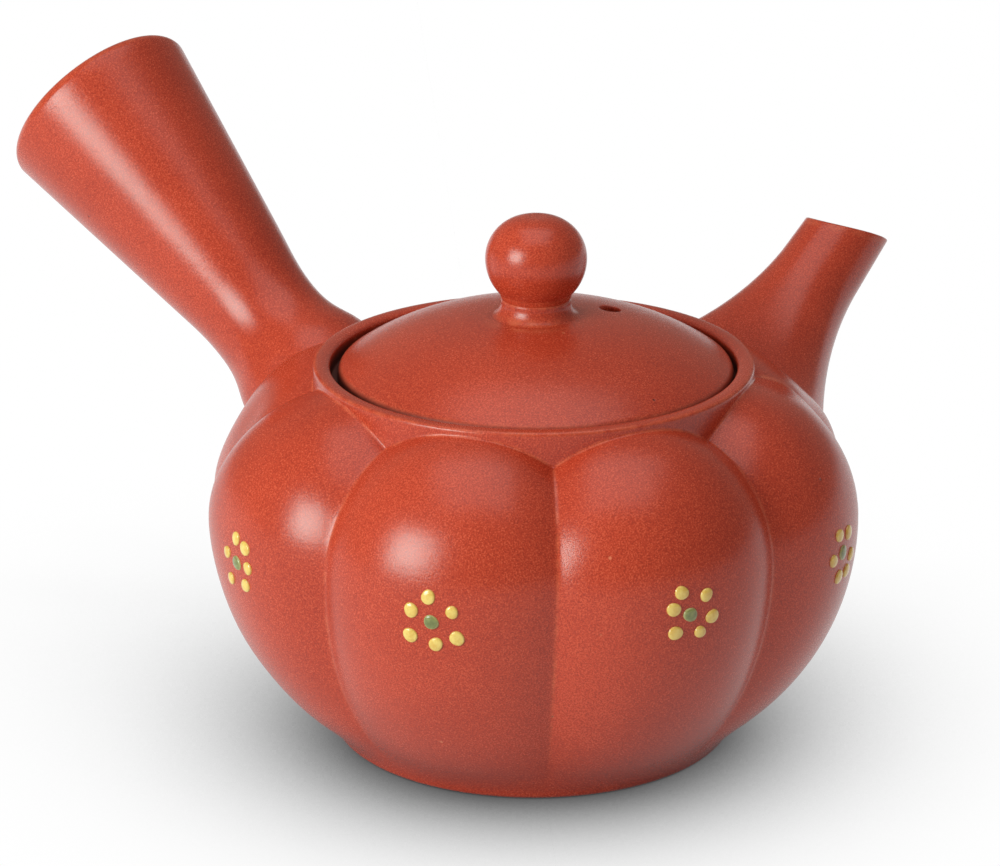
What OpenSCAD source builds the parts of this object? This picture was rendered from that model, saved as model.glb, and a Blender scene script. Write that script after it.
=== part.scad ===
// Side-handled teapot of red clay with a lobed body, a sunk lid, a ball knob,
// a straight spout with a pierced strainer behind it, and dot flowers on the lobes.
// Frame: the origin is the middle of the foot on the table, +Z is up, the spout points
// along +X and the handle along +Y. Sizes are millimetres.

/* [Body] */
// Radius of the body at the crest of a lobe
body_r = 51.2; // [46:0.2:58]
// Height of the widest ring above the table
waist_z = 37.6; // [33:0.2:42]
// Depth of the grooves between the lobes
groove_depth = 4.2; // [2:0.1:5]
// Height of the mouth rim above the table
rim_z = 60.2; // [56:0.2:66]
// Outer radius of the collar round the mouth
collar_r = 34; // [31:0.2:37]
// Collar that shows above the crest of a lobe
collar_show = 1.2; // [0.8:0.1:2]
// Radius of the foot where it meets the table
foot_r = 31; // [27:0.5:34]
// Height at which the lobes run into the foot
foot_h = 3.5; // [3:0.25:6]
// How far the foot spreads from the table to the lobes
foot_flare = 1.8; // [0.6:0.1:2.4]
// Depth of the hollow turned under the foot
foot_hollow = 0.8; // [0.4:0.1:1.2]
// Width of the ring of the foot that touches the table
foot_ring = 6; // [4:0.5:10]
// Wall of the body at its thinnest, under a groove
wall = 3; // [2.4:0.1:3.6]
// Thickness of the floor
floor_t = 4.4; // [3.6:0.1:6]

/* [Mouth and lid] */
// Width of the rounded rim
rim_w = 2.6; // [2:0.1:3.4]
// Depth of the sunk seat below the rim
seat_depth = 3; // [2.4:0.1:4]
// Width of the ledge that carries the lid
seat_w = 3.4; // [2.6:0.1:4.4]
// Gap between the edge of the lid and the rim
lid_gap = 0.8; // [0.4:0.1:1.2]
// Height of the edge of the lid
lid_edge = 2.2; // [1.6:0.1:2.8]
// Rise of the dome above the edge of the lid
lid_rise = 9.2; // [7:0.2:12]
// Thickness of the dome
lid_t = 2.8; // [2.2:0.1:3.4]
// Gap between the flange under the lid and the mouth
flange_gap = 0.7; // [0.4:0.1:1]
// Thickness of the flange
flange_t = 2.4; // [1.8:0.1:3]
// Depth of the flange below the ledge
flange_h = 7; // [5:0.25:9]
// Diameter of the steam hole
steam_d = 3.4; // [2.4:0.1:4.4]
// Distance of the steam hole from the middle of the lid
steam_at = 12.2; // [10:0.2:20]
// Angle of the steam hole, measured from the spout
steam_angle = -28; // [-40:1:30]

/* [Knob] */
// Radius of the ball
ball_r = 7.8; // [7:0.1:9]
// Height of the ball above its widest ring
ball_half = 6.6; // [5.8:0.1:7]
// Height of the ball's widest ring above the foot of the knob
ball_lift = 8.4; // [7.4:0.1:9]
// Radius of the foot of the knob on the lid
knob_foot_r = 6.2; // [5.8:0.1:7]
// Radius of the neck above the foot
knob_neck_r = 5.2; // [4.4:0.1:5.2]
// Height of the neck above the lid
knob_neck_h = 1.3; // [0.6:0.1:1.4]
// Radius of the lower edge of the ball
knob_lip_r = 5.8; // [5.3:0.1:6]

/* [Spout] */
// Slope of the spout above the level
spout_tilt = 37.5; // [33:0.5:43]
// Length of the spout from the bottom of the groove to its mouth
spout_len = 40.5; // [36:0.5:46]
// Height of the spout's axis above the widest ring, at the wall
spout_rise = 1.2; // [0:0.1:3]
// Radius of the spout at its mouth
spout_tip_r = 6.7; // [5.4:0.1:7]
// Radius that the spout would have at the wall without its spread root
spout_base_r = 8.4; // [8:0.1:9.4]
// Wall of the spout at its mouth
spout_lip = 1.8; // [1.4:0.1:2.2]
// Radius of the spout's bore at the wall
bore_base_r = 7; // [6:0.1:7.2]
// Tilt of the mouth's face, outwards from the level
spout_cut = 24; // [10:1:36]
// Length of the spread root outside the wall
root_len = 31.5; // [28:0.5:34]
// How far the root spreads to each side at its start inside the wall, as a share of the body's radius
root_share = 0.36; // [0.28:0.01:0.37]
// Share of that spread above the spout
root_high = 0.3; // [0.2:0.05:0.5]
// Share of that spread below the spout
root_low = 0.2; // [0.1:0.05:0.3]
// Power of the hollow curve of the root
root_curve = 1.8; // [1.5:0.1:2.2]
// Slope of the root at its start inside the wall
root_tilt = 3; // [0:1:6]

/* [Strainer] */
// Radius of the strainer's rim, inside the wall
strainer_r = 12.5; // [11.5:0.1:13]
// Space between the strainer's plate and the wall beside the hole
strainer_stand = 2.5; // [1.5:0.25:4]
// Thickness of the strainer
strainer_t = 2; // [1.6:0.1:2.2]
// Diameter of a strainer hole
pore_d = 1.6; // [1.2:0.1:2]
// Spacing of the strainer's rings of holes
pore_step = 3; // [2.6:0.1:3.1]
// Number of rings of holes round the middle hole
pore_rings = 3; // [2:1:3]

/* [Handle] */
// Slope of the handle above the level
handle_tilt = 37.3; // [32:0.5:44]
// Length of the handle from the bottom of the groove to its end
handle_len = 63.2; // [56:0.2:74]
// Height of the handle's axis above the widest ring, at the wall
handle_rise = 8.3; // [6:0.1:10]
// Radius of the handle at its end
handle_end_r = 17; // [15.5:0.25:19]
// Length of the straight cone, from the end
handle_cone = 42; // [36:0.5:48]
// Radius of the handle where the straight cone stops
handle_slim_r = 10.2; // [9.4:0.1:11]
// Radius of the hollow curve from the cone to the wall
handle_round = 50; // [42:1:60]
// Largest radius of the handle's root, where it enters the wall
handle_root_r = 13.2; // [12.4:0.1:14]
// Wall of the hollow handle
handle_wall = 3; // [2.4:0.1:3.6]
// Rounding of the handle's end
handle_edge = 2; // [1.6:0.1:3]
// Radius of the opening in the handle's end
handle_open_r = 9.5; // [7:0.25:11]

/* [Flowers] */
// Height of the flowers above the widest ring, along the lobe
flower_up = -1.2; // [-8:0.2:2]
// Distance of the petals from the middle of a flower
petal_at = 3.7; // [3.2:0.1:4.4]
// Number of petals in a flower
petal_count = 6; // [5:1:7]
// Radius of a petal dot
petal_r = 1.1; // [0.8:0.05:1.3]
// Radius of the middle dot
middle_r = 1.2; // [1:0.05:1.5]
// Height of the enamel dots
dot_h = 0.5; // [0.3:0.05:0.7]
// Turn of the first flower's petals
flower_turn = 52; // [0:1:60]
// Further turn of each next flower
flower_step = 20; // [0:1:60]
// Clear space between the spout's root and the flowers beside it
flower_gap = 1.8; // [1:0.1:3]

/* [Hidden] */
$fn = 64;
// Number of lobes: the spout and the handle each stand in a groove, so it divides by four
lobe_count = 8;
clay = "#b8452f";
yellow_enamel = "#e8b93a";
green_enamel = "#2f6b3c";
// Length by which a cut runs past the face that it opens
past = 1;
// Columns of points across one lobe, and rows up the shoulder and down the belly
lobe_columns = 10;
shoulder_rows = 9;
belly_rows = 12;
// Columns of points round the spout, and rows along its spread root
spout_columns = 40;
root_rows = 10;
// How far the lobed skin runs on under the collar
skin_tuck = 3;
// Lengths by which the strainer and the handle, and the spout, start inside the wall
luted_in = 16;
root_in = 8;

// Lobes: the crest line is two arcs that meet upright at the widest ring
lobe_step = 360 / lobe_count;
lobe_half = lobe_step / 2;
groove_r = body_r - groove_depth;
shoulder_in = body_r - collar_r;
shoulder_up = rim_z - collar_show - waist_z;
shoulder_round = (shoulder_in * shoulder_in + shoulder_up * shoulder_up) / (2 * shoulder_in);
shoulder_x = body_r - shoulder_round;
shoulder_sweep = acos((collar_r - skin_tuck - shoulder_x) / shoulder_round);
foot_top_r = foot_r + foot_flare;
belly_in = body_r - foot_top_r;
belly_down = waist_z - foot_h;
belly_round = (belly_in * belly_in + belly_down * belly_down) / (2 * belly_in);
belly_x = body_r - belly_round;
belly_sweep = asin(belly_down / belly_round);

// Inside of the pot: a belly arc, an upright band and a shoulder arc, clear of every groove
inner_r = groove_r - wall;
inner_belly = belly_round - groove_depth - wall;
inner_z = waist_z - groove_depth;
inner_shoulder = shoulder_round - groove_depth - wall;

// Mouth and lid
rim_round = rim_w / 2;
seat_r = collar_r - rim_w;
mouth_r = seat_r - seat_w;
seat_z = rim_z - seat_depth;
lid_r = seat_r - lid_gap;
lid_top = seat_z + lid_edge + lid_rise;
dome_r = (lid_r * lid_r + lid_rise * lid_rise) / (2 * lid_rise);
dome_z = lid_top - dome_r;
flange_r = mouth_r - flange_gap;
// The dome is cut flat where the knob stands on it
knob_z = dome_z + sqrt(pow(dome_r, 2) - pow(knob_foot_r, 2));
ball_x = ball_r - ball_half;
lip_h = ball_lift - sqrt(pow(ball_r, 2) - pow(knob_lip_r, 2));

// Spout and strainer: the spout's axis starts at the bottom of a groove
spout_z = waist_z + spout_rise;
spout_taper = (spout_base_r - spout_tip_r) / spout_len;
root_flare = root_share * body_r;
bore_tip_r = spout_tip_r - spout_lip;
bore_taper = (bore_base_r - bore_tip_r) / spout_len;
// Length of the spout that is cut away beyond its slanted mouth
spout_spare = 2 * spout_tip_r;
strainer_z = spout_z - wall * tan(spout_tilt);
strainer_x = sqrt(pow(inner_r, 2) - pow(strainer_r, 2));

// Handle: a straight cone and a hollow curve that touches it, measured along its axis
handle_z = waist_z + handle_rise;
handle_slim_t = handle_len - handle_cone;
handle_taper = (handle_end_r - handle_slim_r) / handle_cone;
handle_slope = atan(handle_taper);
curve_r = handle_slim_r + handle_round * cos(handle_slope);
curve_t = handle_slim_t - handle_round * sin(handle_slope);
curve_end = curve_t - sqrt(pow(handle_round, 2) - pow(curve_r - handle_root_r, 2));
handle_neck_r = curve_r - handle_round;
edge_r = handle_end_r - handle_taper * handle_edge;

// Half width of the spout's root where it meets the wall, from its width at the groove in three steps
spout_side_r = root_side(root_meets(root_side(root_meets(root_side(root_meets(root_side(0)))))));
spout_side = (asin(spout_side_r / body_r) - lobe_half) * PI / 180 * body_r;
beside_spout = spout_side + flower_gap + petal_at + petal_r;
// How far each flower was set to the right of its crest by hand, and clear of the spout
flower_shift = [beside_spout, -1.5, 1.5, 3.1, 1.8, 0.4, -4.4, -beside_spout];

// Point of the crest line at an angle from the level: its radius, height and groove depth
function groove_at(a) = a >= 0 ? groove_depth : groove_depth * (1 - pow(a / belly_sweep, 2));
function crest_r(a) = a >= 0 ? shoulder_x + shoulder_round * cos(a) : belly_x + belly_round * cos(a);
function crest_z(a) = waist_z + (a >= 0 ? shoulder_round : belly_round) * sin(a);
// Share of the groove's depth at an angle from the lobe's crest
function groove_share(b) = pow(b / lobe_half, 2);
// Point of the lobed skin, at a lobe's own angle b and a round angle c
function skin_point(a, b, c) =
    let (d = groove_at(a) * groove_share(b), r = crest_r(a) - d * cos(a))
    [r * cos(c), r * sin(c), crest_z(a) - d * sin(a)];

// Angle along the crest line at a distance above the widest ring
function crest_angle(s) = s / (s >= 0 ? shoulder_round : belly_round) * 180 / PI;

// Faces of a skin made of closed rings of points, and of the flat face that closes a ring
function skin_faces(rows, columns) = concat(
    [for (i = [0 : rows - 2], j = [0 : columns - 1])
        let (k = (j + 1) % columns)
        [i * columns + j, (i + 1) * columns + j, (i + 1) * columns + k]],
    [for (i = [0 : rows - 2], j = [0 : columns - 1])
        let (k = (j + 1) % columns)
        [i * columns + j, (i + 1) * columns + k, i * columns + k]]
);
function start_face(columns) = [for (j = [0 : columns - 1]) j];
function end_face(rows, columns) = [for (j = [1 : columns]) rows * columns - j];

// Lobed skin from the foot to under the collar, closed flat below and by a fan above
module lobed_skin() {
    columns = lobe_count * lobe_columns;
    angles = concat(
        [for (i = [0 : belly_rows - 1]) -belly_sweep * (1 - i / belly_rows)],
        [for (i = [0 : shoulder_rows]) shoulder_sweep * i / shoulder_rows]
    );
    rows = len(angles) + 1;
    foot = [for (j = [0 : columns - 1]) foot_r * [cos(j * 360 / columns), sin(j * 360 / columns), 0]];
    skin = [for (a = angles, j = [0 : columns - 1])
        let (c = j * 360 / columns)
        skin_point(a, c % lobe_step - lobe_half, c)];
    top = rows * columns;
    polyhedron(
        points = concat(foot, skin, [[0, 0, crest_z(shoulder_sweep)]]),
        faces = concat(
            [start_face(columns)],
            skin_faces(rows, columns),
            [for (j = [0 : columns - 1]) [top - columns + j, top, top - columns + (j + 1) % columns]]
        )
    );
}

// The solid that the clay walls are cut from: the lobed skin and the turned collar
module body_block() {
    lobed_skin();
    rotate_extrude() {
        translate([0, waist_z]) square([collar_r, rim_z - rim_round - waist_z]);
        translate([0, waist_z]) square([collar_r - rim_round, rim_z - waist_z]);
        translate([collar_r - rim_round, rim_z - rim_round]) circle(rim_round);
    }
}

// The room inside the pot, up through the mouth
module cavity() {
    rotate_extrude() {
        intersection() {
            translate([belly_x, inner_z]) circle(inner_belly);
            translate([0, floor_t]) square([body_r, inner_z - floor_t]);
        }
        translate([0, inner_z]) square([inner_r, groove_depth]);
        intersection() {
            translate([shoulder_x, waist_z]) circle(inner_shoulder);
            translate([0, waist_z]) square(body_r);
        }
        translate([0, waist_z]) square([shoulder_x, inner_shoulder]);
        translate([0, waist_z]) square([mouth_r, seat_z + past - waist_z]);
    }
}

// Places a shape that stands on +Z onto the spout's axis, from the bottom of the groove
module on_spout_axis() {
    translate([groove_r, 0, spout_z]) rotate([0, 90 - spout_tilt, 0]) children();
}

// Places a shape that stands on +Z onto the strainer's axis, pointing into the pot
module on_strainer_axis() {
    translate([strainer_x, 0, strainer_z]) rotate([0, -90, 0]) children();
}

// Bore along the spout's axis, from the strainer to past the mouth
module spout_bore() {
    on_spout_axis()
        translate([0, 0, -root_in])
            cylinder(
                h = root_in + spout_len + spout_spare,
                r1 = bore_tip_r + bore_taper * (spout_len + root_in),
                r2 = bore_tip_r - bore_taper * spout_spare
            );
}

// Lobed body with its collar, foot, sunk seat for the lid and hole into the spout
module body() {
    color(clay)
        difference() {
            body_block();
            cavity();
            translate([0, 0, seat_z]) cylinder(h = seat_depth + past, r = seat_r);
            translate([0, 0, -past]) cylinder(h = past + foot_hollow, r = foot_r - foot_ring);
            spout_bore();
        }
}

// Share of the spread root that is left at a length along the spout's axis
function root_left(t) = max(0, (root_len - t) / (root_len + root_in));
// Half width of the root at a length along the axis, and the length at which one meets the wall
function root_side(t) = spout_base_r - spout_taper * t + root_flare * pow(root_left(t), root_curve);
function root_meets(side) = (sqrt(pow(body_r, 2) - pow(side, 2)) - groove_r) / cos(spout_tilt);
// How much of its spread the root has at an angle round the axis, counted from below
function root_spread(c) = pow(sin(c), 2) + pow(cos(c), 2) * (cos(c) > 0 ? root_low : root_high);
// Point of the spout's skin along its axis, with +X below: the rings lean as the root spreads
function spout_point(t, c) =
    let (
        left = root_left(t),
        r = spout_base_r - spout_taper * t + root_flare * root_spread(c) * pow(left, root_curve),
        lean = (spout_tilt - root_tilt) * left
    )
    [r * cos(c) * cos(lean), r * sin(c), t - r * cos(c) * sin(lean)];

// Skin of the spout: a spread root that runs out into a slim cone, past the slanted mouth
module spout_skin() {
    lengths = concat(
        [for (i = [0 : root_rows]) -root_in + (root_in + root_len) * i / root_rows],
        [spout_len + spout_spare]
    );
    polyhedron(
        points = [for (t = lengths, j = [0 : spout_columns - 1]) spout_point(t, j * 360 / spout_columns)],
        faces = concat(
            [start_face(spout_columns), end_face(len(lengths), spout_columns)],
            skin_faces(len(lengths), spout_columns)
        )
    );
}

// Spout luted onto the wall, with its mouth cut on a slant
module spout() {
    color(clay)
        difference() {
            on_spout_axis() spout_skin();
            body_block();
            spout_bore();
            on_spout_axis()
                translate([0, 0, spout_len])
                    rotate([0, spout_tilt + spout_cut - 90, 0])
                        translate([-body_r, -body_r, 0]) cube(2 * body_r);
        }
}

// Round plug along the strainer's axis, from inside the wall to a height above its seat
module strainer_plug(r, h) {
    on_strainer_axis() translate([0, 0, -luted_in]) cylinder(h = luted_in + h, r = r);
}

// Pierced plate on a short ring, luted over the spout's hole inside the wall
module strainer() {
    color(clay)
        difference() {
            intersection() {
                cavity();
                strainer_plug(strainer_r, strainer_stand + strainer_t);
            }
            strainer_plug(strainer_r - strainer_t, strainer_stand);
            on_strainer_axis()
                for (ring = [0 : pore_rings], i = [1 : max(6 * ring, 1)])
                    rotate([0, 0, i * 360 / max(6 * ring, 1)])
                        translate([ring * pore_step, 0, strainer_stand - past])
                            cylinder(h = strainer_t + 2 * past, d = pore_d);
        }
}

// Outline of the handle, with its axis upright
module handle_outline() {
    difference() {
        polygon([
            [0, -luted_in],
            [handle_root_r, -luted_in],
            [handle_root_r, curve_end],
            [handle_slim_r, handle_slim_t],
            [edge_r, handle_len - handle_edge],
            [edge_r - handle_edge, handle_len],
            [0, handle_len]
        ]);
        translate([curve_r, curve_t]) circle(handle_round);
    }
    translate([edge_r - handle_edge, handle_len - handle_edge]) circle(handle_edge);
}

// Hollow of the handle, with its opening in the end
module handle_hollow() {
    polygon([
        [0, handle_wall],
        [handle_neck_r - handle_wall, handle_wall],
        [handle_slim_r - handle_wall, handle_slim_t],
        [handle_end_r - handle_wall - handle_taper * handle_wall, handle_len - handle_wall],
        [0, handle_len - handle_wall]
    ]);
    translate([0, handle_len - handle_wall - past]) square([handle_open_r, handle_wall + 2 * past]);
}

// Hollow handle luted onto the wall, flaring to an open end with a rounded edge
module handle() {
    color(clay)
        difference() {
            translate([0, groove_r, handle_z])
                rotate([handle_tilt - 90, 0, 0])
                    rotate_extrude()
                        difference() {
                            handle_outline();
                            handle_hollow();
                        }
            body_block();
        }
}

// Domed lid with its locating flange and steam hole
module lid() {
    color(clay)
        difference() {
            rotate_extrude()
                difference() {
                    union() {
                        intersection() {
                            translate([0, dome_z]) circle(dome_r);
                            translate([0, seat_z]) square([lid_r, knob_z - seat_z]);
                        }
                        translate([0, seat_z - flange_h]) square([flange_r, flange_h]);
                    }
                    intersection() {
                        translate([0, dome_z]) circle(dome_r - lid_t);
                        translate([0, seat_z - flange_h - past]) square([flange_r - flange_t, lid_top - seat_z + flange_h]);
                    }
                }
            rotate([0, 0, steam_angle])
                translate([steam_at, 0, seat_z]) cylinder(h = lid_top - seat_z, d = steam_d);
        }
}

// Ball knob luted on the lid: a waisted neck, a round lower half and a flatter top
module knob() {
    color(clay)
        translate([0, 0, knob_z])
            rotate_extrude() {
                polygon([
                    [0, 0],
                    [knob_foot_r, 0],
                    [knob_neck_r, knob_neck_h],
                    [knob_lip_r, lip_h],
                    [0, lip_h]
                ]);
                intersection() {
                    translate([0, ball_lift]) circle(ball_r);
                    translate([0, lip_h]) square([ball_r, ball_lift - lip_h]);
                }
                intersection() {
                    translate([ball_x, ball_lift]) circle(ball_half);
                    translate([ball_x, ball_lift]) square(ball_half);
                }
                translate([0, ball_lift]) square([ball_x, ball_half]);
            }
}

// Enamel dot: a low dome with a flat back, standing on +Z
module dot(r) {
    dome = (r * r + dot_h * dot_h) / (2 * dot_h);
    rotate_extrude()
        intersection() {
            translate([0, dot_h - dome]) circle(dome);
            square([r, dot_h]);
        }
}

// Places a dot on lobe i, by its distances across and up from the middle of the flower
module on_lobe(i, across, up) {
    a = crest_angle(flower_up + up);
    b = (flower_shift[i - 1] + across) / crest_r(a) * 180 / PI;
    d = groove_at(a) * groove_share(b);
    lean = atan(2 * groove_at(a) * b / pow(lobe_half, 2) / crest_r(a) * 180 / PI);
    rotate([0, 0, (i - 0.5) * lobe_step + b])
        translate([crest_r(a) - d * cos(a), 0, crest_z(a) - d * sin(a)])
            rotate([0, -a, lean])
                rotate([0, 90, 0]) children();
}

// Ring of yellow enamel dots on lobe i
module flower_petals(i) {
    color(yellow_enamel)
        for (j = [1 : petal_count]) {
            turn = flower_turn + i * flower_step + j * 360 / petal_count;
            on_lobe(i, petal_at * cos(turn), petal_at * sin(turn)) dot(petal_r);
        }
}

// Green enamel dot in the middle of the flower on lobe i
module flower_middle(i) {
    color(green_enamel) on_lobe(i, 0, 0) dot(middle_r);
}

body();
spout();
strainer();
handle();
lid();
knob();
for (i = [1 : lobe_count]) {
    flower_petals(i);
    flower_middle(i);
}
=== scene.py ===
import math

import bpy
import numpy as np
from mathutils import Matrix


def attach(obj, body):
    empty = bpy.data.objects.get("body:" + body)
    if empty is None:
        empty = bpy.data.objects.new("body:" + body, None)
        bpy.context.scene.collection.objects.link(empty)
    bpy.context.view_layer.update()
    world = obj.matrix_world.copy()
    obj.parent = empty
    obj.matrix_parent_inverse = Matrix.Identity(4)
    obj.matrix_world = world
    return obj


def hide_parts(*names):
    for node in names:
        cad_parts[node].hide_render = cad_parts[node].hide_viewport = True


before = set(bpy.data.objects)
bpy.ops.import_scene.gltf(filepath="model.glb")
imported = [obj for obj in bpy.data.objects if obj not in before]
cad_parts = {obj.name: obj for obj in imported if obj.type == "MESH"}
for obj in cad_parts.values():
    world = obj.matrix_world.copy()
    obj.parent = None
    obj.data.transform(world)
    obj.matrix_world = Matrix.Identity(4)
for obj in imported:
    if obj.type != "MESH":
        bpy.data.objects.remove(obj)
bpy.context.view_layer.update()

scene = bpy.context.scene

# Body: a pot of fine red clay, thrown, pressed into eight lobes while still soft, and turned at the
# foot. A plain collar carries the rolled rim and the sunk ledge for the lid, and a hole is cut
# through the wall where the spout is luted on. Sizes are millimetres.
body_r, waist_z = 51.2, 37.6
groove_depth, groove_soft, groove_power = 4.2, 0.009, 2.25
rim_z, rim_round, rim_inside, collar_r, collar_show = 60.2, 0.5, 0.7, 34.0, 1.2
foot_r, foot_top_r, foot_h, foot_hollow, foot_ring = 31.0, 32.8, 3.5, 0.8, 6.0
wall_t, floor_t, seat_z, seat_r, mouth_r = 3.0, 4.4, 57.2, 31.4, 28.0
rim_crown, rim_sag, arch_soft = 0.12, 0.05, 0.4
lobe_count, lobe_columns = 8, 48
lobe_lean, lean_from, lean_over = math.radians(1.3), 22, 36
lobe_half = math.pi / lobe_count

shoulder_up, shoulder_in = rim_z - collar_show - waist_z, body_r - collar_r
shoulder_round = (shoulder_in**2 + shoulder_up**2) / (2 * shoulder_in)
shoulder_x = body_r - shoulder_round
belly_down, belly_in = waist_z - foot_h, body_r - foot_top_r
belly_round = (belly_in**2 + belly_down**2) / (2 * belly_in)
belly_x = body_r - belly_round
belly_sweep = math.asin(belly_down / belly_round)
groove_r = body_r - groove_depth


def groove_share(b):
    """Share of a groove's depth at an angle b from its lobe's crest: a power of b's share of the half
    lobe, with the sharp bottom rounded by a small constant under a root."""
    from_groove = np.sqrt((lobe_half - np.abs(b)) ** 2 + groove_soft**2)
    return np.maximum(1 - from_groove / lobe_half, 0) ** groove_power


def bell(value, middle, width):
    """Bell curve of a value: 1 at its middle, falling off over the width on both sides."""
    return np.exp(-(((value - middle) / width) ** 2))


# Where the lobes were left uneven by hand: how much, and then the middle and the width of its bells of
# the height and of the turn, which is in degrees.
fade_share, fade_z, fade_turn = 0.55, (57, 5), (45, 11)
full_by, full_z, full_turn = 1.55, (43, 15), (140, 13)
thin_by, thin_z = 1.2, (11.8, 6.2)
slack_by, slack_z, slack_turn = 2.4, (51, 7.6), (125, 12)
dent_by, dent_z, dent_turn = 1.7, (53, 5), (25, 11)


def let_in(a, b, azimuth):
    """How far the wall lies inside its crest's arc at angle a up the crest and b across the lobe: the
    groove's depth, which runs out towards the foot and fades beside the spout's root, and bells of the
    height and the turn where the lobes were pressed fuller or left slack beside the handle and spout."""
    upper = a >= 0
    z, turn = waist_z + np.where(upper, shoulder_round, belly_round) * np.sin(a), np.degrees(azimuth)
    from_spout = np.abs(np.mod(turn + 180, 360) - 180)
    faded = 1 - fade_share * bell(from_spout, *fade_turn) * bell(z, *fade_z)
    runs_out = np.where(upper, faded, 1 - (a / belly_sweep) ** 2)
    fuller = (full_by * bell(z, *full_z) - thin_by * bell(z, *thin_z)) * bell(turn, *full_turn)
    slack = slack_by * bell(z, *slack_z) * bell(turn, *slack_turn)
    dent = dent_by * bell(z, *dent_z) * bell(from_spout, *dent_turn)
    return groove_depth * groove_share(b) * runs_out - fuller + (slack + dent)


def lobed_wall(a, b, azimuth):
    """Radius and height of the wall at angle a up its crest and b across its lobe: a tight arc above
    the widest ring and a wide one below, each let in towards its centre."""
    upper = a >= 0
    arc = np.where(upper, shoulder_round, belly_round) - let_in(a, b, azimuth)
    return np.stack((np.where(upper, shoulder_x, belly_x) + arc * np.cos(a), waist_z + arc * np.sin(a)), -1)


def lobe_turn(z):
    """Angle by which the lobes lean round the pot, growing with the height above the belly."""
    return lobe_lean * np.clip((z - lean_from) / lean_over, 0, 1)


def straight(start, end, count):
    """Points from start up to, not including, end, evenly along the line between them."""
    start, end = np.broadcast_arrays(np.asarray(start, float), np.asarray(end, float))
    u = np.linspace(0, 1, count, endpoint=False).reshape(-1, *[1] * start.ndim)
    return start + (end - start) * u


def rounded(start, corner, end, count):
    """Points of a rounded corner: the quadratic curve that leaves start and reaches end along the
    lines to the corner, without the end itself."""
    start, corner, end = np.broadcast_arrays(*(np.asarray(p, float) for p in (start, corner, end)))
    u = np.linspace(0, 1, count, endpoint=False).reshape(-1, *[1] * start.ndim)
    return start * (1 - u) ** 2 + corner * 2 * u * (1 - u) + end * u**2


def arc(middle, radius, first, last, count):
    """Points of a circle's arc between two angles, without the last one."""
    angle = np.linspace(first, last, count, endpoint=False)
    return np.stack((middle[0] + radius * np.cos(angle), middle[1] + radius * np.sin(angle)), -1)


def profile_rows(parts, columns):
    """Profile parts one after the other, each the same all round or given for each column."""
    return np.concatenate([
        np.broadcast_to(p if p.ndim == 3 else p[:, None, :], (len(p), columns, 2)) for p in parts])


def turned(profile, azimuth):
    """Points of a turned shape: each radius and height of the profile carried round the upright axis."""
    r, z = profile[..., 0], profile[..., 1]
    return np.stack((r * np.cos(azimuth), r * np.sin(azimuth), z), -1)


def clay_mesh(name, skins, marks=None, joined=False):
    """Object made of closed skins of points in millimetres. In a skin the columns go round and join up,
    and its rows either join up too or end in a fan to the middle of the first and the last row. Faces
    are turned so that the solid's volume is positive. Marks give each point a value by name."""
    points, faces, values, first = [], [], {key: [] for key in marks or {}}, 0
    for index, skin in enumerate(skins):
        rows, columns = skin.shape[:2]
        number = np.arange(rows * columns).reshape(rows, columns)
        beside = np.roll(number, -1, 1)
        near = slice(None) if joined else slice(0, -1)
        above, above_beside = np.roll(number, -1, 0)[near], np.roll(beside, -1, 0)[near]
        quads = np.stack((number[near], beside[near], above_beside, above), -1).reshape(-1, 4)
        flat = skin.reshape(-1, 3)
        fans = np.zeros((0, 3), int)
        if not joined:
            low = np.stack((beside[0], number[0], np.full(columns, rows * columns)), -1)
            high = np.stack((number[-1], beside[-1], np.full(columns, rows * columns + 1)), -1)
            fans = np.concatenate((low, high))
            flat = np.concatenate((flat, skin[0].mean(0)[None], skin[-1].mean(0)[None]))
        corners = np.concatenate((quads[:, :3], quads[:, [0, 2, 3]], fans))
        one, two, three = flat[corners[:, 0]], flat[corners[:, 1]], flat[corners[:, 2]]
        if np.einsum("ij,ij->i", one, np.cross(two, three)).sum() < 0:
            quads, fans = quads[:, ::-1], fans[:, ::-1]
        faces += (quads + first).tolist() + (fans + first).tolist()
        points.append(flat)
        for key in values:
            mark = np.broadcast_to(marks[key][index], (rows, columns))
            ends = [] if joined else [mark[0].mean(), mark[-1].mean()]
            values[key].append(np.concatenate((mark.ravel(), ends)))
        first += len(flat)
    mesh = bpy.data.meshes.new(name)
    mesh.from_pydata(np.concatenate(points) * 0.001, [], faces)
    for key, value in values.items():
        mark = mesh.attributes.new(key, "FLOAT", "POINT")
        mark.data.foreach_set("value", np.concatenate(value).astype(np.float32))
    mesh.polygons.foreach_set("use_smooth", np.ones(len(mesh.polygons), bool))
    mesh.update()
    made = bpy.data.objects.new(name, mesh)
    scene.collection.objects.link(made)
    return made


def cut_out(piece, cutter):
    """Cuts a shape out of a piece for good, and removes the cutter."""
    cut = piece.modifiers.new("cut", "BOOLEAN")
    cut.operation, cut.object, cut.solver = "DIFFERENCE", cutter, "EXACT"
    solid = bpy.data.meshes.new_from_object(piece.evaluated_get(bpy.context.evaluated_depsgraph_get()))
    piece.modifiers.clear()
    piece.data = solid
    bpy.data.objects.remove(cutter)


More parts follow.
